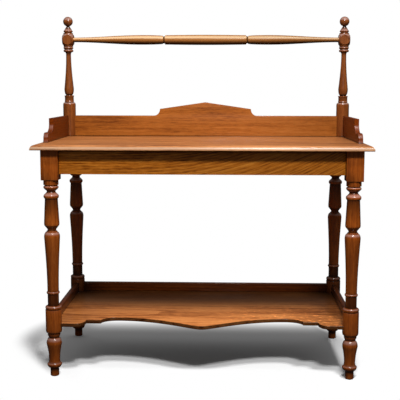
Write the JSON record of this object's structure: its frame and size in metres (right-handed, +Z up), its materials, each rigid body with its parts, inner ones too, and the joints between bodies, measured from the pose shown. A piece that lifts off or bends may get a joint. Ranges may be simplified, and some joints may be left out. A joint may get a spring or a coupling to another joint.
{
  "type": "washstand",
  "caption": "Turned wooden washstand with a moulded top, a shaped gallery, a towel rail on turned posts and a low shelf with a serpentine front.",
  "frame": {"origin": "on the floor, under the middle of the top board", "axes": "+Z up, -Y to the front where a user stands, +X to that user's right"},
  "size_m": [1.067, 0.546, 1.1866],
  "materials": {
    "mahogany_gold": "french polish",
    "mahogany": "french polish",
    "mahogany_dark": "french polish",
    "deal": "bare",
    "beech": "bare"
  },
  "bodies": {
    "root": {"top_board": "mahogany_gold", "apron_front": "mahogany_gold", "apron_back": "mahogany_gold", "back_panel": "mahogany_gold", "shelf": "mahogany_gold", "towel_rail": "mahogany_gold", "apron_left": "mahogany", "apron_right": "mahogany", "leg_front_left": "mahogany", "leg_front_right": "mahogany", "leg_back_left": "mahogany", "leg_back_right": "mahogany", "gallery_side_left": "mahogany", "gallery_side_right": "mahogany", "post_left": "mahogany", "post_right": "mahogany", "finial_left": "mahogany", "finial_right": "mahogany", "stretcher_left": "mahogany_dark", "stretcher_right": "mahogany_dark", "stretcher_back": "mahogany_dark", "glue_block_front_1": "deal", "glue_block_front_2": "deal", "glue_block_front_3": "deal", "glue_block_back_1": "deal", "glue_block_back_2": "deal", "glue_block_back_3": "deal", "glue_block_left_1": "deal", "glue_block_left_2": "deal", "glue_block_right_1": "deal", "glue_block_right_2": "deal", "dowel_back_1": "beech", "dowel_back_2": "beech", "dowel_back_3": "beech", "dowel_left_1": "beech", "dowel_left_2": "beech", "dowel_right_1": "beech", "dowel_right_2": "beech"}
  },
  "joints": []
}
